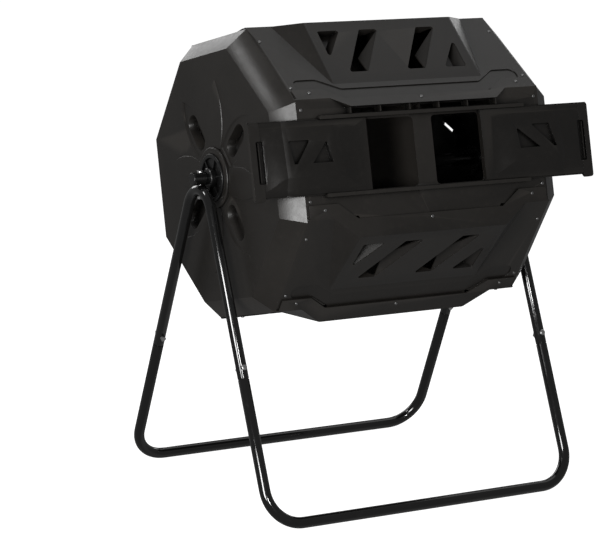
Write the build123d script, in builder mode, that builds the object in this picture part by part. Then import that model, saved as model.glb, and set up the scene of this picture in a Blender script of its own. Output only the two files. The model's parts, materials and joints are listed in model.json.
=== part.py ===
from build123d import *
import os
from math import atan2, cos, radians, sin, tan

# Compost tumbler: an octagonal drum of eight moulded panels between two end caps, turning on an
# axle that lies across two bent-tube trestles, with two sliding doors in its front face.
# +X runs along the axle to the right-hand end, -Y is the front, +Z is up. The origin is on the
# ground below the middle of the axle. All sizes are in millimetres.

# Drum
AXLE_HEIGHT = 640  # ground to the middle of the axle
DRUM_TILT = 13  # degrees that the front face looks up with the drum at rest
DRUM_RADIUS = 297  # axle to a corner of the octagon
PANEL_LENGTH = 550
PANEL_WALL = 3
CAP_DEPTH = 40  # how far an end cap stands out past the panels
CAP_FACE_RADIUS = 260  # corner radius of the cap's flat outer face
CAP_WALL = 3.5
COLLAR_LENGTH = 23  # cap rim that the panel ends are screwed to
DIVIDER_WALL = 3
DIVIDER_GAP = 0.2
DIVIDER_HOLE_GAP = 2

# Vent panel
RIDGE_REACH = 36.5  # ridge past the octagon's corner, along the next face
RIDGE_HALF = 168
RIDGE_SPREAD = 219  # where the side bevels run out at the fold
FOOT_DROP = 66.7  # foot of the raised wedge below the panel's middle
FOOT_HALF = 170
WEDGE_ROUND = 12  # radius along both sides of the wedge
WEDGE_ROOT = 30  # how far the wedge runs on under the sheet
FLANGE_REACH = 31.5  # seam flange past the corner, beside the ridge
FLANGE_MIDDLE = 0.7  # the same below the ridge
FLANGE_STEP = (165, 206)  # half-lengths where its edge steps up
FLANGE_HALF = 270
TONGUE_REACH = 14.5  # tongue that runs on below the neighbour's ridge
TONGUE_HALF = 148
EDGE_INSET = 6  # the rest of the lower edge stops this far above the corner
CHANNEL_DEPTH = 2
CHANNEL_WIDTH = 32
CHANNEL_HALF = 254
CHANNEL_TOP = -50  # its upper edge beside the wedge
CHANNEL_MIDDLE = -81  # and below the wedge
CHANNEL_STEP = (157, 202)
CHANNEL_ROUND = 14
SLOT_CENTRE = 81.8  # middle of the slot pattern above the wedge's foot
SLOT_RISE = 107  # height of a slot
SLOT_WIDTH = 42
SLOT_LEAN = 67  # sideways shift from the bottom of a slot to its top
SLOT_PITCH = 131
TRIANGLE_BASE = 50
TRIANGLE_RISE = 70
TRIANGLE_EDGE = 148
SLOT_CORNER = 4
SLOT_DEEP = 16
SLOT_SHALLOW = 1.5
BLADE_LEVEL = 0.45  # how far up a slot its blade is widest
BLADE_SHARE = 0.62  # how much of the slot's width the blade covers there
POCKET_WALL = 2.2

# Door frame and doors
VISOR_REACH = 24.3
VISOR_HALF = 165
VISOR_SPREAD = 200
VISOR_FOOT = 97.5
FIN_WALL = 2.5
FIN_DEPTH = 15
VENT_COUNT = 5
POST_WIDTH = 42
DOORWAY_WIDTH = 109
DOORWAY_TOP = 74
DOORWAY_BOTTOM = -60
DOORWAY_CORNER = 8
DOOR_LENGTH = 255
DOOR_TOP = 77
DOOR_BOTTOM = -61
DOOR_OPEN = 109  # how far each door stands open at rest
DOOR_BACK = 1  # running gap behind a door
DOOR_FRONT = 8
DOOR_WALL = 2.5
DOOR_TONGUE = 2.8
DOOR_TONGUE_WALL = 4
RAIL_HALF = 232
RAIL_HEIGHT = 7
RAIL_DEPTH = 12
RAIL_SHOW_GAP = 1  # between a door's edge and the lip of its rail
RAIL_GAP = 0.6  # running clearance of a door's tongue in its rail
LIP_WIDTH = 22
LIP_FRONT = 9
LIP_ABOVE = 2.5
LIP_BELOW = 8.5
LIP_CORNER = 6
GRIP_WIDTH = 15
GRIP_RIB = 2
GRIP_CORNER = 3
GRIP_LENGTH = 80
GRIP_MARGIN = 12  # outer end of a door to its grip slot
GRIP_DEPTH = 4.5
BULGE_MARGIN = 20  # each end of a door to the foot of its bulge
BULGE_BLEND = 58
BULGE_HEIGHT = 8
BULGE_TOP = 66
BULGE_RIDGE = -28
BULGE_FOOT = -50
HOLLOW_DEPTH = 2  # in the back of a door
RECESS_FLOOR = 5
RECESS_CORNER = 2
GRIP_Y = 4

# Petals of the end caps
PETAL_TURN = 33.5  # degrees from straight up, towards the back of the left cap
PETAL_TIP = 194
PETAL_HALF = 33
PETAL_ROOT = 62
PETAL_DEPTH = 2.5
WINDOW_ROOT = 73
WINDOW_TIP = 153
WINDOW_WIDTH = 38
WINDOW_DEEP = 20
WINDOW_SLIT = 8
BLADE_TIP = 191
BLADE_HALF = 31
BLADE_HEIGHT = 1.5
PETAL_MIDDLE = 110
PETAL_TAPER = 45
BLADE_TAPER = 35
HUB_RADIUS = 60
HUB_HEIGHT = 6
HUB_GAP = 0.4
BUSH_RADIUS = 47
BUSH_FLANGE = 5
BUSH_RING = 8
BUSH_RING_HEIGHT = 5
BUSH_SEAT_RADIUS = 28
BOSS_RADIUS = 19
SPOKE_WALL = 3
SPOKE_HEIGHT = 4
BUSH_SEAT = 28  # sleeve of the bush inside the cap
BUSH_LENGTH = 18  # how far the bush stands out past the cap's face

# Stand
TUBE = 22
TUBE_WALL = 1.5
AXLE = 25
AXLE_WALL = 2
AXLE_FIT = 0.05  # radial running clearance in the bushes
AXLE_HALF = 363
AXLE_PLUG_CAP = 4
ARCH_GAP = 0.5  # a nut's corners clear the hollow of the bend
AXLE_PLUG_DEPTH = 10
LEG_X = 348
FLOOR_Y = 295  # centre of a floor run in front of the axle
LEG_MEET_RISE = 52  # above the axle, where the straight leg lines would meet
CORNER_BEND = 70
JOINT_Z = 275
SPIGOT_LENGTH = 45
SPIGOT_GAP = 0.1
JOINT_GROOVE = 1.5
LEG_BOLT_RISE = 22
BOLT = 6
BOLT_HEAD = 12
BOLT_HEAD_HEIGHT = 3.5
NUT_WIDTH = 10
NUT_HEIGHT = 5
HOLE_GAP = 0.2
THREAD_GAP = 0.05
SCREW = 4
SCREW_HEAD = 6.5
SCREW_HEAD_HEIGHT = 1.8
SCREW_NUT = 7
SCREW_NUT_HEIGHT = 3.2
END_SCREW_INSET = 10  # panel end to its screws
END_SCREW_Y = 72
FRAME_SCREW_Y = (98, -75)  # the same on the door frame, clear of the doors
SEAM_SCREW_X = 236
SEAM_SCREW_RISE = 20.7  # outer seam screws above the corner
SEAM_SCREW_DROP = 7.5  # middle seam screw below it

# Derived from the driving dimensions
TURN = 45  # between neighbouring faces of the drum
APOTHEM = DRUM_RADIUS * cos(radians(TURN / 2))
HALF_SIDE = DRUM_RADIUS * sin(radians(TURN / 2))
FACE_NORMAL = Vector(0, 1)
NEXT_NORMAL = Vector(sin(radians(TURN)), cos(radians(TURN)))
NEXT_ALONG = Vector(cos(radians(TURN)), -sin(radians(TURN)))
NEXT_FACE = Plane(
    origin=(0, APOTHEM * sin(radians(TURN)), APOTHEM * (cos(radians(TURN)) - 1)),
    x_dir=(1, 0, 0),
    z_dir=(0, sin(radians(TURN)), cos(radians(TURN))),
)
DOOR_INNER = POST_WIDTH / 2 + DOOR_OPEN
DOOR_OUTER = DOOR_INNER + DOOR_LENGTH
LEG_MEET_Z = AXLE_HEIGHT + LEG_MEET_RISE
LEG_LEAN = atan2(FLOOR_Y, LEG_MEET_Z - TUBE / 2)
APEX_Z = AXLE_HEIGHT - AXLE / 2 - TUBE / 2
APEX_BEND = (LEG_MEET_Z - APEX_Z) / (1 / sin(LEG_LEAN) - 1)
REACH = 2 * DRUM_RADIUS  # past anything that a cut has to clear


def face_plane(turn):
    """Plane on the outside of the drum face that is turned up from the front face."""
    angle = radians(turn + DRUM_TILT)
    normal = Vector(0, -cos(angle), sin(angle))
    return Plane(origin=Vector(0, 0, AXLE_HEIGHT) + normal * APOTHEM, x_dir=(1, 0, 0), z_dir=normal)


def cap_plane(side):
    """Plane across one end of the panels, looking outward, its Y along the drum's own upright."""
    upright = Vector(0, sin(radians(DRUM_TILT)), cos(radians(DRUM_TILT)))
    outward = Vector(side, 0, 0)
    origin = (side * PANEL_LENGTH / 2, 0, AXLE_HEIGHT)
    return Plane(origin=origin, x_dir=upright.cross(outward), z_dir=outward)


def save(builder, name):
    builder.part.label = name
    export_step(builder.part, f"parts/{name}.step")


def bored(solid, places, radius):
    """The solid with a hole of the given radius along Z at each place."""
    with BuildPart() as result:
        add(solid)
        with Locations(*places):
            Cylinder(radius, 4 * (PANEL_WALL + CAP_WALL), mode=Mode.SUBTRACT)
    return result.part


# ---- Folded panels, in the frame of their own face: X along, Y up the face, Z out ----


def on_next_face(past, out):
    """Section point on the next face: past the shared corner and out from its sheet."""
    return Vector(HALF_SIDE, 0) + NEXT_ALONG * past + NEXT_NORMAL * out


def inset_corner(corner, normal_a, normal_b, depth):
    """Where two outer faces meet once both have moved inward by depth."""
    return corner - (normal_a + normal_b) * (depth / (1 + normal_a.dot(normal_b)))


def core_section(corner, depth):
    """Closed section under the plain sheet, whose outer line folds at the given corner."""
    start = Vector(-HALF_SIDE - RIDGE_REACH, -depth)
    end = on_next_face(2 * FLANGE_REACH, PANEL_WALL - depth)
    deep_end = on_next_face(2 * FLANGE_REACH, -FLANGE_REACH)
    deep_start = Vector(start.X, -2 * FLANGE_REACH)
    return [(p.X, p.Y) for p in (start, corner, end, deep_end, deep_start)]


def folded_core(foot, crest, bevel, depth):
    """Solid under the folded sheet: the plain fold, with the raised block between its bevels."""
    rise = (crest - foot).normalized()
    rise_normal = Vector(-rise.Y, rise.X)
    fold = Vector(HALF_SIDE + PANEL_WALL / sin(radians(TURN)), 0)
    wedge_top = inset_corner(crest, rise_normal, NEXT_NORMAL, depth)
    wedge_root = inset_corner(foot, FACE_NORMAL, rise_normal, depth) - rise * WEDGE_ROOT
    end = on_next_face(2 * FLANGE_REACH, PANEL_WALL - depth)
    deep_end = on_next_face(2 * FLANGE_REACH, -FLANGE_REACH)
    ox, oy, oz = bevel.origin
    nx, ny, nz = bevel.z_dir
    other_bevel = Plane(origin=(-ox, oy, oz), z_dir=(-nx, ny, nz))
    with BuildPart() as block:
        with BuildSketch(Plane.YZ):
            Polygon(*[(p.X, p.Y) for p in (wedge_root, wedge_top, end, deep_end)], align=None)
        extrude(amount=PANEL_LENGTH / 2, both=True)
        split(bisect_by=bevel.offset(-depth), keep=Keep.BOTTOM)
        split(bisect_by=other_bevel.offset(-depth), keep=Keep.BOTTOM)
        wedge_face = block.faces().sort_by(Axis((0, 0, 0), (0, rise_normal.X, rise_normal.Y)))[-1]
        sides = [e for e in wedge_face.edges() if abs(e.center().X) > RIDGE_HALF / 2]
        fillet(sides, WEDGE_ROUND - depth)
    with BuildPart() as core:
        with BuildSketch(Plane.YZ):
            plain = inset_corner(fold, FACE_NORMAL, NEXT_NORMAL, depth)
            Polygon(*core_section(plain, depth), align=None)
        extrude(amount=PANEL_LENGTH / 2 + depth, both=True)
        add(block.part)
    return core.part


def bevel_through(ridge_half, crest, spread, foot_half, foot):
    """Plane of the right-hand bevel that ends the raised block."""
    ridge_end = Vector(ridge_half, crest.X, crest.Y)
    fold_end = Vector(spread, HALF_SIDE + PANEL_WALL / sin(radians(TURN)), 0)
    foot_end = Vector(foot_half, foot.X, foot.Y)
    return Plane(origin=ridge_end, z_dir=(foot_end - ridge_end).cross(fold_end - ridge_end))


def stepped_line(low, high, steps):
    """Points of an edge that runs low in the middle and steps up towards both ends."""
    inner, outer = steps
    return [(-outer, high), (-inner, low), (inner, low), (outer, high)]


def folded_sheet(foot, crest, bevel):
    """Sheet with its raised block, its lower edge with a tongue, and its seam flange."""
    half = PANEL_LENGTH / 2
    flange_edge = stepped_line(FLANGE_MIDDLE - HALF_SIDE, FLANGE_REACH - HALF_SIDE, FLANGE_STEP)
    lower_edge = stepped_line(
        -HALF_SIDE - TONGUE_REACH, -HALF_SIDE + EDGE_INSET, (TONGUE_HALF, TONGUE_HALF + TONGUE_REACH)
    )
    with BuildPart() as sheet:
        add(folded_core(foot, crest, bevel, 0))
        add(folded_core(foot, crest, bevel, PANEL_WALL), mode=Mode.SUBTRACT)
        with BuildSketch(Plane.XY.offset(1)):
            below = [(half, lower_edge[-1][1]), (half, -REACH), (-half, -REACH), (-half, lower_edge[0][1])]
            Polygon(*lower_edge, *below, align=None)
        extrude(amount=-PANEL_WALL - 2, mode=Mode.SUBTRACT)
        with BuildSketch(NEXT_FACE.offset(PANEL_WALL + 1)):
            above = [(half, flange_edge[-1][1]), (half, 0), (-half, 0), (-half, flange_edge[0][1])]
            Polygon(*flange_edge, *above, align=None)
            with Locations((half, 0), (-half, 0)):
                Rectangle(2 * (half - FLANGE_HALF), 2 * (HALF_SIDE - EDGE_INSET))
        extrude(amount=-PANEL_WALL - 2, mode=Mode.SUBTRACT)
    own_holes = [Location((x, y, 0)) for x, y in SEAM_SCREWS]
    flange_holes = [NEXT_FACE.location * place for place in own_holes]
    return bored(sheet.part, own_holes + flange_holes, SCREW / 2 + HOLE_GAP)


def end_screw_places(heights):
    """Places of the screws that hold both ends of a panel to the collars, in its face's frame."""
    across = PANEL_LENGTH / 2 - END_SCREW_INSET
    return [Location((x, y, 0)) for x in (-across, across) for y in heights]


def vent_outlines():
    """The four slots of a wedge, as corner points about the middle of their pattern."""
    top = SLOT_RISE / 2
    lean = SLOT_LEAN / 2
    half = SLOT_WIDTH / 2
    slanted = [(-lean - half, -top), (-lean + half, -top), (lean + half, top), (lean - half, top)]
    pair = [[(x + shift, y) for x, y in slanted] for shift in (-SLOT_PITCH / 2, SLOT_PITCH / 2)]
    left_corner = [
        (-TRIANGLE_EDGE, top),
        (-TRIANGLE_EDGE + TRIANGLE_BASE, top),
        (-TRIANGLE_EDGE, top - TRIANGLE_RISE),
    ]
    right_corner = [(-x, -y) for x, y in left_corner]
    return [left_corner, *pair, right_corner]


def louvre(outline):
    """Pocket of one slot, the tub around it, and beside its sloping blade the opening of a full slot."""
    blade_top = Vector(*max(outline, key=lambda p: (p[1], p[0])))
    blade_bottom = Vector(*min(outline, key=lambda p: (p[1], -p[0])))
    level = blade_bottom.Y + BLADE_LEVEL * (blade_top.Y - blade_bottom.Y)
    crossings = []
    for (x0, y0), (x1, y1) in zip(outline, outline[1:] + outline[:1]):
        if (y0 - level) * (y1 - level) < 0:
            crossings.append(x0 + (x1 - x0) * (level - y0) / (y1 - y0))
    blade_tip = Vector(max(crossings) - BLADE_SHARE * (max(crossings) - min(crossings)), level)
    shallow = Vector(0, 0, -SLOT_SHALLOW)
    deep = Vector(0, 0, -SLOT_DEEP)
    floor = Plane(
        origin=blade_top + shallow,
        z_dir=(blade_tip + deep - blade_bottom - shallow).cross(blade_bottom - blade_top),
    )
    with BuildSketch() as mouth:
        Polygon(*outline, align=None)
        fillet(mouth.vertices(), SLOT_CORNER)
    with BuildSketch() as gap:
        add(mouth.sketch)
        Polygon(*[(p.X, p.Y) for p in (blade_top, blade_tip, blade_bottom)], align=None, mode=Mode.SUBTRACT)
    with BuildPart() as pocket:
        add(mouth.sketch)
        extrude(amount=-SLOT_DEEP)
        add(mouth.sketch)
        extrude(amount=1)
        split(bisect_by=floor, keep=Keep.TOP)
    with BuildPart() as tub:
        with BuildSketch(Plane.XY.offset(-PANEL_WALL / 2)):
            add(mouth.sketch)
            offset(amount=POCKET_WALL)
        extrude(amount=-SLOT_DEEP)
        split(bisect_by=floor.offset(-POCKET_WALL), keep=Keep.TOP)
    with BuildPart() as opening:
        add(gap.sketch)
        extrude(amount=-SLOT_DEEP - 2 * POCKET_WALL)
    return pocket.part, tub.part, opening.part if len(outline) == 4 else None


# ---- Doors, in the frame of the front face ----


def bulge(outer_end, inner_end):
    """Raised part of a door, growing out of it downward between two blended ends."""
    run = 1 if inner_end > outer_end else -1
    low, high = sorted((outer_end + run * BULGE_MARGIN, inner_end - run * BULGE_MARGIN))
    growth = BULGE_HEIGHT / (BULGE_TOP - BULGE_RIDGE)
    foot_height = growth * (BULGE_TOP - BULGE_FOOT)
    with BuildPart() as raised:
        for level, height in ((BULGE_TOP, 0.3), (BULGE_FOOT, foot_height)):
            section = Plane(origin=(0, level, DOOR_FRONT), x_dir=(1, 0, 0), z_dir=(0, -1, 0))
            rise_end = low + BULGE_BLEND
            fall_start = high - BULGE_BLEND
            with BuildSketch(section):
                with BuildLine():
                    Spline((low, 0), (rise_end, height), tangents=((1, 0), (1, 0)))
                    Line((rise_end, height), (fall_start, height))
                    Spline((fall_start, height), (high, 0), tangents=((1, 0), (1, 0)))
                    Polyline((high, 0), (high, -1), (low, -1), (low, 0))
                make_face()
        loft(ruled=True)
        foot_slope = Plane(
            origin=(0, BULGE_FOOT, DOOR_FRONT),
            z_dir=(0, -BULGE_HEIGHT, BULGE_RIDGE - BULGE_FOOT),
        )
        split(bisect_by=foot_slope, keep=Keep.BOTTOM)
    return raised.part


def sliding_door(side, recesses):
    """Door on one side of the post, open by its rest travel."""
    outer = side * DOOR_OUTER
    inner = side * DOOR_INNER
    middle = (outer + inner) / 2
    height = DOOR_TOP - DOOR_BOTTOM
    centre = (DOOR_TOP + DOOR_BOTTOM) / 2
    hollow_length = DOOR_LENGTH - GRIP_MARGIN - GRIP_WIDTH - 2 * DOOR_WALL
    with BuildPart() as door:
        with BuildSketch(Plane.XY.offset(DOOR_BACK)):
            with Locations((middle, centre)):
                Rectangle(DOOR_LENGTH, height + 2 * DOOR_TONGUE)
        extrude(amount=DOOR_TONGUE_WALL)
        with BuildSketch(Plane.XY.offset(DOOR_BACK)):
            with Locations((middle, centre)):
                Rectangle(DOOR_LENGTH, height)
        extrude(amount=DOOR_FRONT - DOOR_BACK)
        with BuildSketch(Plane.XY.offset(DOOR_BACK)):
            with Locations((outer - side * LIP_WIDTH / 2, centre + (LIP_ABOVE - LIP_BELOW) / 2)):
                RectangleRounded(LIP_WIDTH, height + LIP_ABOVE + LIP_BELOW, LIP_CORNER)
        extrude(amount=LIP_FRONT - DOOR_BACK)
        add(bulge(outer, inner))
        with BuildSketch(Plane.XY.offset(DOOR_BACK)):
            with Locations((inner + side * (DOOR_WALL + hollow_length / 2), centre)):
                Rectangle(hollow_length, height - 2 * DOOR_WALL)
        extrude(amount=HOLLOW_DEPTH, mode=Mode.SUBTRACT)
        with BuildSketch(Plane.XY.offset(DOOR_FRONT - GRIP_DEPTH)):
            with Locations((outer - side * (GRIP_MARGIN + GRIP_WIDTH / 2), GRIP_Y)):
                RectangleRounded(GRIP_WIDTH, GRIP_LENGTH, GRIP_CORNER)
            with Locations((outer - side * (GRIP_MARGIN + GRIP_WIDTH / 3), GRIP_Y)):
                Rectangle(GRIP_RIB, GRIP_LENGTH - 2 * GRIP_CORNER, mode=Mode.SUBTRACT)
        extrude(amount=LIP_FRONT, mode=Mode.SUBTRACT)
        with BuildSketch(Plane.XY.offset(RECESS_FLOOR)) as marks:
            for outline in recesses:
                Polygon(*[(outer - side * x, y) for x, y in outline], align=None)
            fillet(marks.vertices(), RECESS_CORNER)
        extrude(amount=LIP_FRONT, mode=Mode.SUBTRACT)
    return door.part


# ---- End caps and hub bushes, in the frame of an end of the drum: Z out along the axle ----


def petal(tip, half, root, widest):
    """Pointed leaf along +Y from its root, with its half width at the widest point."""
    with BuildSketch() as leaf:
        with BuildLine():
            ThreePointArc((0.75 * half, root), (half, widest), (0, tip))
            ThreePointArc((0, tip), (-half, widest), (-0.75 * half, root))
            Line((-0.75 * half, root), (0.75 * half, root))
        make_face()
    return leaf.sketch


def octagon(apothem, mode=Mode.ADD):
    return RegularPolygon(apothem, 8, major_radius=False, rotation=TURN / 2, mode=mode)


def end_cap():
    """Tapered cover with its collar, four petal windows, four raised blades and the hub ring."""
    face_apothem = CAP_FACE_RADIUS * cos(radians(TURN / 2))
    taper = (APOTHEM - face_apothem) / CAP_DEPTH
    side_wall = CAP_WALL * (1 + taper**2) ** 0.5
    inner_face = CAP_DEPTH - CAP_WALL
    collar_apothem = APOTHEM - PANEL_WALL
    leaf = petal(PETAL_TIP, PETAL_HALF, PETAL_ROOT, PETAL_MIDDLE)
    blade = petal(BLADE_TIP, BLADE_HALF, PETAL_ROOT - 5, PETAL_ROOT + 30)
    with BuildPart() as cap:
        with BuildSketch():
            octagon(APOTHEM)
        with BuildSketch(Plane.XY.offset(CAP_DEPTH)):
            octagon(face_apothem)
        loft()
        with BuildSketch():
            octagon(APOTHEM - side_wall)
        with BuildSketch(Plane.XY.offset(inner_face)):
            octagon(APOTHEM - side_wall - taper * inner_face)
        loft(mode=Mode.SUBTRACT)
        with BuildSketch(Plane.XY.offset(-COLLAR_LENGTH)):
            octagon(collar_apothem)
            octagon(collar_apothem - CAP_WALL, mode=Mode.SUBTRACT)
        extrude(amount=COLLAR_LENGTH + CAP_WALL)
        with BuildSketch(Plane.XY.offset(inner_face - PETAL_DEPTH)):
            with PolarLocations(0, 4, start_angle=PETAL_TURN):
                add(leaf)
            offset(amount=CAP_WALL)
        extrude(amount=PETAL_DEPTH)
        with BuildSketch(Plane.XY.offset(CAP_DEPTH)):
            with PolarLocations(0, 4, start_angle=PETAL_TURN):
                add(leaf)
        extrude(amount=-PETAL_DEPTH, taper=PETAL_TAPER, mode=Mode.SUBTRACT)
        with BuildSketch(Plane.XY.offset(CAP_DEPTH)):
            with PolarLocations(0, 4, start_angle=PETAL_TURN + 45):
                add(blade)
        extrude(amount=BLADE_HEIGHT, taper=BLADE_TAPER)
        with BuildSketch(Plane.XY.offset(CAP_DEPTH - WINDOW_DEEP - CAP_WALL)):
            with PolarLocations((WINDOW_ROOT + WINDOW_TIP) / 2, 4, start_angle=PETAL_TURN + 90):
                SlotOverall(WINDOW_TIP - WINDOW_ROOT + 2 * CAP_WALL, WINDOW_WIDTH + 2 * CAP_WALL)
        extrude(amount=WINDOW_DEEP)
        with BuildSketch(Plane.XY.offset(CAP_DEPTH)):
            with PolarLocations((WINDOW_ROOT + WINDOW_TIP) / 2, 4, start_angle=PETAL_TURN + 90):
                SlotOverall(WINDOW_TIP - WINDOW_ROOT, WINDOW_WIDTH)
        extrude(amount=-WINDOW_DEEP, mode=Mode.SUBTRACT)
        with BuildSketch(Plane.XY.offset(CAP_DEPTH - WINDOW_DEEP)):
            with PolarLocations((WINDOW_ROOT + WINDOW_TIP) / 2, 4, start_angle=PETAL_TURN + 90):
                with Locations((0, (WINDOW_WIDTH - WINDOW_SLIT) / 2)):
                    Rectangle(WINDOW_TIP - WINDOW_ROOT - WINDOW_WIDTH, WINDOW_SLIT)
        extrude(amount=-2 * CAP_WALL, mode=Mode.SUBTRACT)
        with BuildSketch(Plane.XY.offset(inner_face)):
            Circle(HUB_RADIUS)
        extrude(amount=CAP_WALL + HUB_HEIGHT)
        fillet(cap.faces().sort_by(Axis.Z)[-1].edges(), HUB_HEIGHT / 2)
        with BuildSketch(Plane.XY.offset(CAP_DEPTH)):
            Circle(BUSH_RADIUS + HUB_GAP)
        extrude(amount=HUB_HEIGHT, mode=Mode.SUBTRACT)
        with BuildSketch(Plane.XY.offset(inner_face)):
            Circle(BUSH_SEAT_RADIUS)
        extrude(amount=CAP_WALL, mode=Mode.SUBTRACT)
    return cap.part


def hub_bush():
    """Bearing bush: a sleeve through the cap, a ringed and spoked flange, and a boss round the axle."""
    seat_start = CAP_DEPTH - BUSH_SEAT
    with BuildPart() as bush:
        with BuildSketch(Plane.XY.offset(seat_start)):
            Circle(BUSH_SEAT_RADIUS - HUB_GAP)
        extrude(amount=BUSH_SEAT)
        with BuildSketch(Plane.XY.offset(CAP_DEPTH)):
            Circle(BUSH_RADIUS)
        extrude(amount=BUSH_FLANGE)
        with BuildSketch(Plane.XY.offset(CAP_DEPTH + BUSH_FLANGE)):
            Circle(BUSH_RADIUS)
            Circle(BUSH_RADIUS - BUSH_RING, mode=Mode.SUBTRACT)
        extrude(amount=BUSH_RING_HEIGHT)
        fillet(bush.faces().sort_by(Axis.Z)[-1].edges(), BUSH_RING_HEIGHT / 3)
        with BuildSketch(Plane.XY.offset(CAP_DEPTH + BUSH_FLANGE)):
            with PolarLocations(BUSH_RADIUS / 2, 6):
                Rectangle(BUSH_RADIUS - BUSH_RING, SPOKE_WALL)
        extrude(amount=SPOKE_HEIGHT)
        with BuildSketch(Plane.XY.offset(CAP_DEPTH)):
            Circle(BOSS_RADIUS)
        extrude(amount=BUSH_LENGTH)
        chamfer(bush.faces().sort_by(Axis.Z)[-1].edges(), SPOKE_WALL / 2)
        with BuildSketch(Plane.XY.offset(seat_start)):
            Circle(AXLE / 2 + AXLE_FIT)
        extrude(amount=BUSH_SEAT + BUSH_LENGTH, mode=Mode.SUBTRACT)
    return bush.part


# ---- Fasteners: head on the XY plane, shank down through the grip, nut below it ----


def screw(radius, head_radius, head_height, length):
    with BuildPart() as solid:
        with BuildSketch():
            Circle(head_radius)
        extrude(amount=head_height)
        fillet(solid.faces().sort_by(Axis.Z)[-1].edges(), 0.6 * head_height)
        with BuildSketch():
            Circle(radius)
        extrude(amount=-length)
    return solid.part


def nut(radius, width, height, grip):
    with BuildPart() as solid:
        with BuildSketch(Plane.XY.offset(-grip)):
            RegularPolygon(width / 2, 6, major_radius=False)
            Circle(radius + THREAD_GAP, mode=Mode.SUBTRACT)
        extrude(amount=-height)
    return solid.part


def save_group(name, solid, places):
    """Write identical fasteners as one node, a separate solid at each place."""
    group = Compound(label=name, children=[solid.moved(place) for place in places])
    export_step(group, f"parts/{name}.step")


# ---- Bent tubes of the stand ----


def leg_y(height):
    """Distance of a leg's centre line in front of or behind the axle, at a height."""
    return FLOOR_Y * (LEG_MEET_Z - height) / (LEG_MEET_Z - TUBE / 2)


def leg_plane(side, way, height):
    """Plane at a height on a leg, looking out of the stand square to the leg; Y points up the leg."""
    up_leg = Vector(0, -way * sin(LEG_LEAN), cos(LEG_LEAN))
    outward = Vector(0, way * cos(LEG_LEAN), sin(LEG_LEAN))
    origin = (side * LEG_X, way * leg_y(height), height)
    return Plane(origin=origin, x_dir=up_leg.cross(outward), z_dir=outward)


def bent_tube(corners, bend):
    with BuildPart() as tube:
        with BuildLine() as route:
            FilletPolyline(*corners, radius=bend)
        with BuildSketch(Plane(origin=route.line @ 0, z_dir=route.line % 0)):
            Circle(TUBE / 2)
            Circle(TUBE / 2 - TUBE_WALL, mode=Mode.SUBTRACT)
        sweep()
    return tube.part


def drilled(solid, places, depth):
    """The solid with a bolt hole at each place, cut both ways along Z."""
    with BuildPart() as result:
        add(solid)
        with Locations(*places):
            Cylinder(BOLT / 2 + HOLE_GAP, depth, mode=Mode.SUBTRACT)
    return result.part


SEAM_SCREWS = [
    (-SEAM_SCREW_X, SEAM_SCREW_RISE - HALF_SIDE),
    (0, -SEAM_SCREW_DROP - HALF_SIDE),
    (SEAM_SCREW_X, SEAM_SCREW_RISE - HALF_SIDE),
]
VENT_PANELS = {
    "lower_front_panel": -45,
    "bottom_panel": -90,
    "lower_back_panel": -135,
    "back_panel": 180,
    "upper_back_panel": 135,
    "top_panel": 90,
    "upper_front_panel": 45,
}
FRONT = face_plane(0)
PANEL_FOOT = Vector(-FOOT_DROP, 0)
PANEL_CREST = on_next_face(-RIDGE_REACH, PANEL_WALL)
PANEL_BEVEL = bevel_through(RIDGE_HALF, PANEL_CREST, RIDGE_SPREAD, FOOT_HALF, PANEL_FOOT)
WEDGE_SLOPE = atan2(PANEL_CREST.Y, PANEL_CREST.X + FOOT_DROP)
WEDGE_PLANE = Plane(
    origin=(0, -FOOT_DROP + SLOT_CENTRE * cos(WEDGE_SLOPE), SLOT_CENTRE * sin(WEDGE_SLOPE)),
    x_dir=(1, 0, 0),
    z_dir=(0, -sin(WEDGE_SLOPE), cos(WEDGE_SLOPE)),
)
SCREW_HOLE = SCREW / 2 + HOLE_GAP
END_SCREWS = {turn: end_screw_places((-END_SCREW_Y, END_SCREW_Y)) for turn in VENT_PANELS.values()}
END_SCREWS[0] = end_screw_places(FRAME_SCREW_Y)

# ---- Vent panels: a raised wedge with a channel below it and four louvred slots ----
with BuildPart() as vent_panel:
    sheet = folded_sheet(PANEL_FOOT, PANEL_CREST, PANEL_BEVEL)
    add(bored(sheet, END_SCREWS[45], SCREW_HOLE))
    with BuildSketch(Plane.XY.offset(1)) as channel:
        step = stepped_line(CHANNEL_MIDDLE, CHANNEL_TOP, CHANNEL_STEP)
        upper = [(-CHANNEL_HALF, CHANNEL_TOP), *step, (CHANNEL_HALF, CHANNEL_TOP)]
        lower = [(x, y - CHANNEL_WIDTH) for x, y in reversed(upper)]
        Polygon(*upper, *lower, align=None)
        fillet(channel.vertices(), CHANNEL_ROUND)
    extrude(amount=-CHANNEL_DEPTH - 1, mode=Mode.SUBTRACT)
    louvres = [louvre(outline) for outline in vent_outlines()]
    for pocket, tub, opening in louvres:
        add(tub.moved(WEDGE_PLANE.location))
    for pocket, tub, opening in louvres:
        add(pocket.moved(WEDGE_PLANE.location), mode=Mode.SUBTRACT)
        if opening:
            add(opening.moved(WEDGE_PLANE.location), mode=Mode.SUBTRACT)
for name, turn in VENT_PANELS.items():
    with BuildPart() as panel:
        add(vent_panel.part.moved(face_plane(turn).location))
    save(panel, name)

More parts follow.
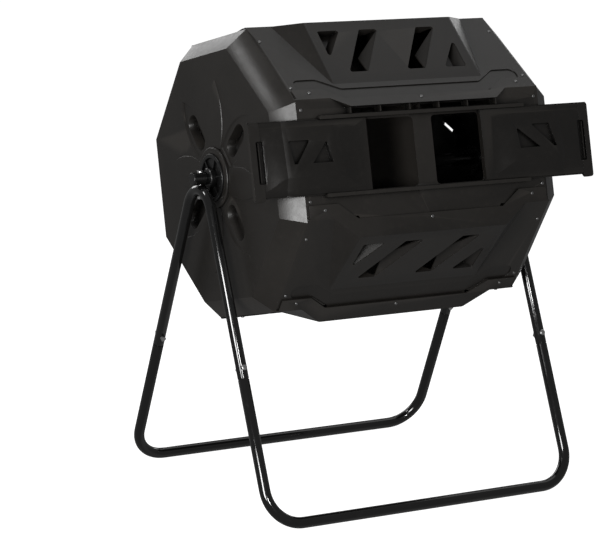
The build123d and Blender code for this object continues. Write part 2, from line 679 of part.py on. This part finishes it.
# ---- Door frame panel: two doorways, and a visor over a row of vents with fins between them ----
frame_foot = Vector(VISOR_FOOT, 0)
frame_crest = on_next_face(-VISOR_REACH, PANEL_WALL)
frame_bevel = bevel_through(VISOR_HALF, frame_crest, VISOR_SPREAD, VISOR_HALF + 2, frame_foot)
rail_top = DOOR_TOP + RAIL_SHOW_GAP + RAIL_HEIGHT
vent_pitch = 2 * VISOR_HALF / VENT_COUNT
vent_bottom = rail_top + FIN_WALL
vent_height = VISOR_FOOT - FIN_WALL / 2 - vent_bottom
vent_middle = vent_bottom + vent_height / 2
with BuildPart() as frame_sheet:
    add(bored(folded_sheet(frame_foot, frame_crest, frame_bevel), END_SCREWS[0], SCREW_HOLE))
    with BuildSketch(Plane.XY.offset(1)):
        with Locations((0, vent_middle)):
            with GridLocations(vent_pitch, 0, VENT_COUNT, 1):
                Rectangle(vent_pitch - 2 * FIN_WALL, vent_height)
        for side in (-1, 1):
            doorway = (side * (POST_WIDTH + DOORWAY_WIDTH) / 2, (DOORWAY_TOP + DOORWAY_BOTTOM) / 2)
            with Locations(doorway):
                RectangleRounded(DOORWAY_WIDTH, DOORWAY_TOP - DOORWAY_BOTTOM, DOORWAY_CORNER)
    extrude(amount=-PANEL_WALL - 2, mode=Mode.SUBTRACT)
    with BuildSketch(Plane.XY.offset(-PANEL_WALL / 2)):
        with Locations((0, vent_middle)):
            with GridLocations(vent_pitch, 0, VENT_COUNT + 1, 1):
                Rectangle(FIN_WALL, vent_height + FIN_WALL)
    extrude(amount=PANEL_WALL / 2 + FIN_DEPTH)
with BuildPart() as door_frame_panel:
    add(frame_sheet.part.moved(FRONT.location))
save(door_frame_panel, "door_frame_panel")

# ---- Door rails: channels that hold the tongues of both doors ----
for name, edge, way in (("upper_door_rail", DOOR_TOP, 1), ("lower_door_rail", DOOR_BOTTOM, -1)):
    with BuildPart() as bar:
        with BuildSketch():
            with Locations((0, edge + way * (RAIL_SHOW_GAP + RAIL_HEIGHT / 2))):
                RectangleRounded(2 * RAIL_HALF, RAIL_HEIGHT, RAIL_HEIGHT / 3)
        extrude(amount=RAIL_DEPTH)
        with BuildSketch():
            with Locations((0, edge + way * (DOOR_TONGUE + RAIL_GAP) / 2)):
                Rectangle(2 * RAIL_HALF, DOOR_TONGUE + RAIL_GAP)
        extrude(amount=DOOR_BACK + DOOR_TONGUE_WALL + RAIL_GAP, mode=Mode.SUBTRACT)
    with BuildPart() as rail:
        add(bar.part.moved(FRONT.location))
    save(rail, name)

# ---- Sliding doors; their recesses are given from a door's outer end inward ----
LEFT_RECESSES = (
    [(80, 41), (127, 41), (89, -11)],
    [(163, 38), (173, -10), (122, -10)],
)
RIGHT_RECESSES = (
    [(175, 38), (171, -9), (117, -9)],
    [(140, 43), (97, 43), (83, -11)],
)
for name, side, recesses in (("left_door", -1, LEFT_RECESSES), ("right_door", 1, RIGHT_RECESSES)):
    with BuildPart() as door:
        add(sliding_door(side, recesses).moved(FRONT.location))
    save(door, name)

# ---- End caps and their bushes ----
collar_holes = [face_plane(turn).location * place for turn, places in END_SCREWS.items() for place in places]
for name, side in (("left", -1), ("right", 1)):
    end = cap_plane(side).location
    with BuildPart() as cap:
        add(bored(end_cap().moved(end), collar_holes, SCREW_HOLE))
    save(cap, f"{name}_end_cap")
    with BuildPart() as bush:
        add(hub_bush().moved(end))
    save(bush, f"{name}_hub_bush")

# ---- Divider: follows the inside of every panel and clears the axle ----


def drum_section_point(turn, point):
    """Section point of a face as (back, up) about the axle, before the drum's rest tilt is added."""
    angle = radians(turn + DRUM_TILT)
    out = APOTHEM + point.Y
    return (-out * cos(angle) + point.X * sin(angle), out * sin(angle) + point.X * cos(angle))


inside = PANEL_WALL + DIVIDER_GAP
wedge_normal = Vector(-sin(WEDGE_SLOPE), cos(WEDGE_SLOPE))
inner_foot = inset_corner(PANEL_FOOT, FACE_NORMAL, wedge_normal, inside)
under_flange = on_next_face(0, -inside)
wedge_along = Vector(cos(WEDGE_SLOPE), sin(WEDGE_SLOPE))
rise_to_flange = (under_flange - inner_foot).dot(NEXT_NORMAL) / wedge_along.dot(NEXT_NORMAL)
inner_crest = inner_foot + wedge_along * rise_to_flange
plain_corner = Vector((APOTHEM - inside) * tan(radians(TURN / 2)), -inside)
outline = [drum_section_point(0, plain_corner)]
for turn in range(TURN, 360, TURN):
    outline += [drum_section_point(turn, inner_foot), drum_section_point(turn, inner_crest)]
with BuildPart() as divider:
    with BuildSketch(Plane.YZ.offset(-DIVIDER_WALL / 2)):
        with Locations((0, AXLE_HEIGHT)):
            Polygon(*outline, align=None)
            Circle(AXLE / 2 + DIVIDER_HOLE_GAP, mode=Mode.SUBTRACT)
    extrude(amount=DIVIDER_WALL)
    for turn in END_SCREWS:
        with Locations(face_plane(turn).location * Pos(*SEAM_SCREWS[1], -PANEL_WALL)):
            Cylinder(SCREW_NUT, 4 * SCREW_NUT_HEIGHT, mode=Mode.SUBTRACT)
save(divider, "divider")

# ---- Screws of the drum ----
seam_places = [
    face_plane(turn).location * Pos(x, y, PANEL_WALL) for turn in END_SCREWS for x, y in SEAM_SCREWS
]
seam_grip = 2 * PANEL_WALL
end_grip = PANEL_WALL + CAP_WALL
for kind, places, grip in (("seam", seam_places, seam_grip), ("panel_end", collar_holes, end_grip)):
    small_screw = screw(SCREW / 2, SCREW_HEAD / 2, SCREW_HEAD_HEIGHT, grip + SCREW_NUT_HEIGHT)
    save_group(f"{kind}_screws", small_screw, places)
    save_group(f"{kind}_nuts", nut(SCREW / 2, SCREW_NUT, SCREW_NUT_HEIGHT, grip), places)

# ---- Stand: two upper tubes over two lower ones, joined by spigots and bolts ----
leg_bolt_height = JOINT_Z + LEG_BOLT_RISE * cos(LEG_LEAN)
joint_gap_height = JOINT_Z + JOINT_GROOVE
for name, side in (("left", -1), ("right", 1)):
    x = side * LEG_X
    foot_y = leg_y(joint_gap_height)
    corners = ((x, -foot_y, joint_gap_height), (x, 0, LEG_MEET_Z), (x, foot_y, joint_gap_height))
    holes = [leg_plane(side, way, leg_bolt_height).location for way in (-1, 1)]
    holes.append(Location((x, 0, APEX_Z)))
    with BuildPart() as leg:
        add(drilled(bent_tube(corners, APEX_BEND), holes, 2 * TUBE))
    save(leg, f"{name}_upper_leg")

spigot_radius = TUBE / 2 - TUBE_WALL - SPIGOT_GAP
for name, way in (("front", -1), ("rear", 1)):
    y = way * FLOOR_Y
    top_y = way * leg_y(JOINT_Z)
    corners = (
        (-LEG_X, top_y, JOINT_Z),
        (-LEG_X, y, TUBE / 2),
        (LEG_X, y, TUBE / 2),
        (LEG_X, top_y, JOINT_Z),
    )
    with BuildPart() as frame:
        add(bent_tube(corners, CORNER_BEND))
        for side in (-1, 1):
            joint = leg_plane(side, way, JOINT_Z)
            up_leg = Plane(origin=joint.origin, z_dir=joint.y_dir)
            with BuildSketch(up_leg):
                Circle(TUBE / 2)
                Circle(spigot_radius - TUBE_WALL, mode=Mode.SUBTRACT)
            extrude(amount=-3 * TUBE_WALL)
            with BuildSketch(up_leg):
                Circle(spigot_radius)
                Circle(spigot_radius - TUBE_WALL, mode=Mode.SUBTRACT)
            extrude(amount=SPIGOT_LENGTH)
    with BuildPart() as drilled_frame:
        holes = [leg_plane(side, way, leg_bolt_height).location for side in (-1, 1)]
        add(drilled(frame.part, holes, 2 * TUBE))
    save(drilled_frame, f"{name}_lower_leg")

leg_bolt_places = [
    leg_plane(side, way, leg_bolt_height).location * Pos(0, 0, TUBE / 2)
    for side in (-1, 1)
    for way in (-1, 1)
]
save_group("leg_bolts", screw(BOLT / 2, BOLT_HEAD / 2, BOLT_HEAD_HEIGHT, TUBE + NUT_HEIGHT), leg_bolt_places)
save_group("leg_nuts", nut(BOLT / 2, NUT_WIDTH, NUT_HEIGHT, TUBE), leg_bolt_places)

# ---- Axle across the two apexes, with its end caps and bolts ----
with BuildPart() as axle_tube:
    with BuildSketch(Plane.YZ.offset(-AXLE_HALF)):
        with Locations((0, AXLE_HEIGHT)):
            Circle(AXLE / 2)
            Circle(AXLE / 2 - AXLE_WALL, mode=Mode.SUBTRACT)
    extrude(amount=2 * AXLE_HALF)
with BuildPart() as axle:
    add(drilled(axle_tube.part, [Location((side * LEG_X, 0, AXLE_HEIGHT)) for side in (-1, 1)], 2 * AXLE))
save(axle, "axle")
for name, side in (("left", -1), ("right", 1)):
    with BuildPart() as plug:
        with BuildSketch(Plane(origin=(side * AXLE_HALF, 0, AXLE_HEIGHT), z_dir=(side, 0, 0))):
            Circle(AXLE / 2)
        extrude(amount=AXLE_PLUG_CAP)
        fillet(plug.faces().sort_by(Axis.X)[-1 if side > 0 else 0].edges(), AXLE_PLUG_CAP / 2)
        with BuildSketch(Plane(origin=(side * AXLE_HALF, 0, AXLE_HEIGHT), z_dir=(-side, 0, 0))):
            Circle(AXLE / 2 - AXLE_WALL - HOLE_GAP / 2)
        extrude(amount=AXLE_PLUG_DEPTH)
    save(plug, f"{name}_axle_plug")
axle_bolt_places = [Location((side * LEG_X, 0, AXLE_HEIGHT + AXLE / 2)) for side in (-1, 1)]
axle_grip = AXLE + TUBE + ARCH_GAP
axle_bolt = screw(BOLT / 2, BOLT_HEAD / 2, BOLT_HEAD_HEIGHT, axle_grip + NUT_HEIGHT)
save_group("axle_bolts", axle_bolt, axle_bolt_places)
save_group("axle_nuts", nut(BOLT / 2, NUT_WIDTH, NUT_HEIGHT, axle_grip), axle_bolt_places)
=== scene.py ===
import json
import math

import bpy
from mathutils import Matrix, Vector


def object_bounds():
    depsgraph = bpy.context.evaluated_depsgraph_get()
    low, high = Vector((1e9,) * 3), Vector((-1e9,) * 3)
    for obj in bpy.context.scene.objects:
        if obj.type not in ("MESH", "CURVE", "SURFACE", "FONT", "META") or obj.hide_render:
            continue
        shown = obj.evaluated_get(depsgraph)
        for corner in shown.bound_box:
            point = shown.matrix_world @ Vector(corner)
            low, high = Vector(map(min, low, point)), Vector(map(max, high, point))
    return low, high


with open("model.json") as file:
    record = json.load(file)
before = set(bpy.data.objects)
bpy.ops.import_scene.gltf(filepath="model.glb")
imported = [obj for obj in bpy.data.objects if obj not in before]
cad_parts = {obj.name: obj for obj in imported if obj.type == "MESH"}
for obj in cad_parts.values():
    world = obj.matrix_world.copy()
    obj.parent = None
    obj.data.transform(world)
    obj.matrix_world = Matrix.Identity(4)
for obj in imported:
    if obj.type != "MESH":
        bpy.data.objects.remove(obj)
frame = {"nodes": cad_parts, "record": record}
nodes = frame["nodes"]
bpy.context.view_layer.update()
cad_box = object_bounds()
scene = bpy.context.scene

# Camera: the direction it looks from and its roll in degrees, its place in metres, its lens in mm
AZIMUTH, ELEVATION, ROLL = -30.018, 10.811, 0.581
CAMERA_PLACE = (-2.6427, -4.3645, 1.3914)
LENS = 153.2
VIEW_DEPTH = 200

# How far along the axle the tapers of the end caps begin and end shading over into their flat
# faces, in metres, and how fast they do it
CAP_CURVE_START, CAP_CURVE_END = 0.287, 0.315
CAP_CURVE = -5

# Painted shade in hollows: the colour and gloss the moulded plastics are darkened to there, the gloss
# out in the open, and how close a wall has to be to count
HOLLOW_REACH = 0.03
HOLLOW_SAMPLES = 6
PAINTED_HOLLOW_SHADE = 0.001
PAINTED_HOLLOW_GLOSS, OPEN_GLOSS = 0.08, 0.5

# Softened edges, in metres and degrees
WELD_REACH = 0.00002
FLAT_ANGLE = 0.6
EDGE_ANGLE = 28
EDGE_SEGMENTS = 2

# Light and floor
WORLD_STRENGTH = 0.15
FLOOR_HALF = 60
FLOOR_SHADE = 0.5
FLOOR_GLOW = 0.97


# ---- Camera ----


def direction(azimuth, elevation):
    """Unit vector from the object towards a place: azimuth 0 is the front, 90 the right-hand end."""
    a, e = math.radians(azimuth), math.radians(elevation)
    return Vector((math.sin(a) * math.cos(e), -math.cos(a) * math.cos(e), math.sin(e)))


back = direction(AZIMUTH, ELEVATION)
level = Vector((0, 0, 1)).cross(back).normalized()
upright = back.cross(level)
roll = math.radians(ROLL)
right = math.cos(roll) * level + math.sin(roll) * upright
up = math.cos(roll) * upright - math.sin(roll) * level
camera = bpy.data.objects.new("camera", bpy.data.cameras.new("camera"))
camera.data.lens = LENS
camera.data.clip_end = VIEW_DEPTH
camera.matrix_world = Matrix.Translation(CAMERA_PLACE) @ Matrix((right, up, back)).transposed().to_4x4()
scene.collection.objects.link(camera)
scene.camera = camera
scene.view_settings.view_transform = "Standard"


# ---- Materials ----


class Shader:
    """A material, with short calls for its nodes and links."""

    def __init__(self, name, **inputs):
        self.material = bpy.data.materials.new(name)
        self.material.use_nodes = True
        self.tree = self.material.node_tree
        self.surface = self.tree.nodes["Principled BSDF"]
        for key, value in inputs.items():
            self.surface.inputs[key.replace("_", " ")].default_value = value

    def node(self, kind, inputs=None, **settings):
        made = self.tree.nodes.new("ShaderNode" + kind)
        for key, value in settings.items():
            setattr(made, key, value)
        for key, value in (inputs or {}).items():
            if isinstance(value, bpy.types.NodeSocket):
                self.tree.links.new(value, made.inputs[key])
            else:
                made.inputs[key].default_value = value
        return made

    def place(self):
        return self.node("TexCoord").outputs["Object"]

    def noise(self, scale, detail=3.0, roughness=0.55, distortion=0.0):
        inputs = {"Vector": self.place(), "Scale": scale, "Detail": detail, "Roughness": roughness,
                  "Distortion": distortion}
        return self.node("TexNoise", inputs).outputs["Fac"]

    def ranged(self, value, low, high, to_low, to_high):
        inputs = {"Value": value, "From Min": low, "From Max": high, "To Min": to_low, "To Max": to_high}
        return self.node("MapRange", inputs).outputs["Result"]

    def math(self, operation, a, b=0.0):
        return self.node("Math", {0: a, 1: b}, operation=operation).outputs[0]

    def mix(self, factor, a, b):
        made = self.node("Mix", data_type="RGBA")
        for key, value in (("Factor_Float", factor), ("A_Color", a), ("B_Color", b)):
            socket = next(s for s in made.inputs if s.identifier == key)
            if isinstance(value, bpy.types.NodeSocket):
                self.tree.links.new(value, socket)
            else:
                socket.default_value = value
        return next(s for s in made.outputs if s.identifier == "Result_Color")

    def bump(self, height, distance, strength=1.0, normal=None):
        inputs = {"Height": height, "Distance": distance, "Strength": strength}
        if normal is not None:
            inputs["Normal"] = normal
        return self.node("Bump", inputs).outputs["Normal"]

    def use(self, key, socket):
        self.tree.links.new(socket, self.surface.inputs[key])


def grey(value, warmth=0.0):
    return (value * (1 + warmth), value, value * (1 - warmth), 1)


def moulded_plastic(name, shade, warmth, gloss, grain):
    """Satin black polypropylene: moulded grain, faint flow marks, a painted highlight on convex edges
    and painted shade in hollows.
    """
    s = Shader(name)
    flow = s.noise(5, detail=4, distortion=1.2)
    dust = s.noise(90, detail=5, roughness=0.65)
    flow_share = s.ranged(flow, 0.35, 0.65, 0, 1)
    colour = s.mix(flow_share, grey(shade * 0.9, warmth), grey(shade * 1.12, warmth))
    colour = s.mix(s.ranged(dust, 0.55, 0.8, 0, 0.35), colour, grey(shade * 2.2, warmth * 1.5))
    # Painted highlight: convex edges are coloured paler, as if they caught the light.
    painted_edge_highlight = s.node("NewGeometry").outputs["Pointiness"]
    colour = s.mix(s.ranged(painted_edge_highlight, 0.52, 0.62, 0, 0.5), colour, grey(shade * 3, warmth))
    # Painted shade: hollows, pockets and creases near other walls are coloured near black and lose
    # gloss.
    reach = {"Distance": HOLLOW_REACH}
    openness = s.node("AmbientOcclusion", reach, samples=HOLLOW_SAMPLES).outputs["AO"]
    outside_painted_shade = s.ranged(openness, 0.25, 0.75, 0, 1)
    s.use("Base Color", s.mix(outside_painted_shade, grey(PAINTED_HOLLOW_SHADE), colour))
    s.use("Specular IOR Level", s.ranged(outside_painted_shade, 0, 1, PAINTED_HOLLOW_GLOSS, OPEN_GLOSS))
    s.use("Roughness", s.ranged(s.math("ADD", flow, dust), 0.6, 1.4, gloss - 0.05, gloss + 0.07))
    along = s.math("ABSOLUTE", s.node("SeparateXYZ", {"Vector": s.place()}).outputs["X"])
    past = s.math("SUBTRACT", s.math("MINIMUM", along, CAP_CURVE_END), CAP_CURVE_START)
    fall = s.math("MULTIPLY", s.math("POWER", s.math("MAXIMUM", past), 2), CAP_CURVE)
    fine = s.noise(1400, detail=2)
    coarse = s.noise(420, detail=3)
    curved = s.bump(fall, 1)
    s.use("Normal", s.bump(fine, grain, 0.6, s.bump(coarse, grain * 2, 0.5, curved)))
    return s.material


def tube_paint():
    """Gloss black powder coat with a little orange peel and a few dull scuffs."""
    s = Shader("tube_paint", Specular_IOR_Level=0.5, Coat_Weight=0.6, Coat_Roughness=0.04)
    scuff = s.noise(60, detail=6, roughness=0.7)
    s.use("Base Color", s.mix(s.ranged(scuff, 0.6, 0.8, 0, 1), grey(0.004), grey(0.012)))
    s.use("Roughness", s.ranged(scuff, 0.4, 0.75, 0.1, 0.2))
    s.use("Normal", s.bump(s.noise(330, detail=2), 0.00005, 0.4))
    return s.material


def steel(name, shade, rough):
    """Zinc-plated steel with a cloudy passivated surface."""
    s = Shader(name, Metallic=1.0)
    cloud = s.noise(700, detail=4)
    cloud_share = s.ranged(cloud, 0.35, 0.65, 0, 1)
    s.use("Base Color", s.mix(cloud_share, grey(shade * 0.75, 0.02), grey(shade, -0.01)))
    s.use("Roughness", s.ranged(cloud, 0.3, 0.7, rough - 0.06, rough + 0.1))
    s.use("Normal", s.bump(s.noise(2500, detail=2), 0.00003, 0.5))
    return s.material


MATERIALS = {
    "drum_plastic": moulded_plastic("drum_plastic", 0.0105, 0.12, 0.35, 0.00004),
    "door_plastic": moulded_plastic("door_plastic", 0.007, 0.12, 0.33, 0.00003),
    "hub_plastic": moulded_plastic("hub_plastic", 0.008, 0.0, 0.26, 0.00002),
    "tube_paint": tube_paint(),
    "screw_steel": steel("screw_steel", 0.3, 0.4),
    "bolt_steel": steel("bolt_steel", 0.65, 0.3),
}
for sub in frame["record"]["subparts"]:
    nodes[sub["node"]].data.materials[0] = MATERIALS[sub["material_slot"]]


# ---- Softened edges on the moulded parts and the leg tubes ----


def soften(node, width):
    """Rounds the sharp edges of a CAD part in modifiers, after joining the points of its facets."""
    piece = nodes[node]
    weld = piece.modifiers.new("weld", "WELD")
    weld.merge_threshold = WELD_REACH
    flat = piece.modifiers.new("flat", "DECIMATE")
    flat.decimate_type = "DISSOLVE"
    flat.angle_limit = math.radians(FLAT_ANGLE)
    bevel = piece.modifiers.new("bevel", "BEVEL")
    bevel.width = width
    bevel.segments = EDGE_SEGMENTS
    bevel.limit_method = "ANGLE"
    bevel.angle_limit = math.radians(EDGE_ANGLE)
    bevel.harden_normals = True


EDGE_WIDTHS = {
    0.0007: ("door_frame_panel", "lower_front_panel", "bottom_panel", "lower_back_panel", "back_panel",
             "upper_back_panel", "top_panel", "upper_front_panel", "left_door", "right_door"),
    0.001: ("left_end_cap", "right_end_cap"),
    0.0008: ("upper_door_rail", "lower_door_rail"),
    0.0009: ("left_upper_leg", "right_upper_leg", "front_lower_leg", "rear_lower_leg"),
}
for width, parts in EDGE_WIDTHS.items():
    for part in parts:
        soften(part, width)


# ---- Floor and light ----

low, high = cad_box
centre = (low + high) / 2


def softbox(name, azimuth, elevation, distance, width, height, power):
    """An area light of so many watts that faces the middle of the object, unseen by the camera."""
    light = bpy.data.lights.new(name, "AREA")
    light.shape = "RECTANGLE"
    light.size, light.size_y = width, height
    light.energy = power
    lamp = bpy.data.objects.new(name, light)
    towards = direction(azimuth, elevation)
    lamp.location = centre + towards * distance
    lamp.rotation_euler = towards.to_track_quat("Z", "Y").to_euler()
    lamp.visible_camera = False
    scene.collection.objects.link(lamp)


softbox("key_softbox", -51, 8, 3.2, 1.0, 1.2, 76)
softbox("back_softbox", 178, 20, 3.2, 2.4, 0.9, 16)
softbox("taper_softbox", -113, 47, 3.0, 0.5, 0.5, 10)
softbox("top_softbox", 112, 62, 3.0, 2.0, 2.0, 6.5)
softbox("right_softbox", 122, 24, 3.2, 0.7, 1.0, 5)
softbox("door_softbox", -17, 8, 3.4, 0.3, 0.4, 26)
softbox("low_softbox", 64, -56, 2.6, 2.0, 2.0, 0.8)

world = bpy.data.worlds.new("studio")
scene.world = world
world.use_nodes = True
sky = world.node_tree.nodes["Background"]
sky.inputs["Color"].default_value = (1, 1, 1, 1)
sky.inputs["Strength"].default_value = WORLD_STRENGTH

floor_mesh = bpy.data.meshes.new("floor")
floor_mesh.from_pydata(
    [(-FLOOR_HALF, -FLOOR_HALF, low.z), (FLOOR_HALF, -FLOOR_HALF, low.z),
     (FLOOR_HALF, FLOOR_HALF, low.z), (-FLOOR_HALF, FLOOR_HALF, low.z)], [], [(0, 1, 2, 3)])
floor = bpy.data.objects.new("floor", floor_mesh)
scene.collection.objects.link(floor)
pale = Shader("floor_white", Roughness=0.9, Specular_IOR_Level=0.1)
pale.surface.inputs["Base Color"].default_value = grey(FLOOR_SHADE)
pale.surface.inputs["Emission Color"].default_value = (1, 1, 1, 1)
pale.surface.inputs["Emission Strength"].default_value = FLOOR_GLOW
floor_mesh.materials.append(pale.material)
floor.visible_diffuse = False
floor.visible_glossy = False
floor.visible_shadow = False

bpy.context.view_layer.update()
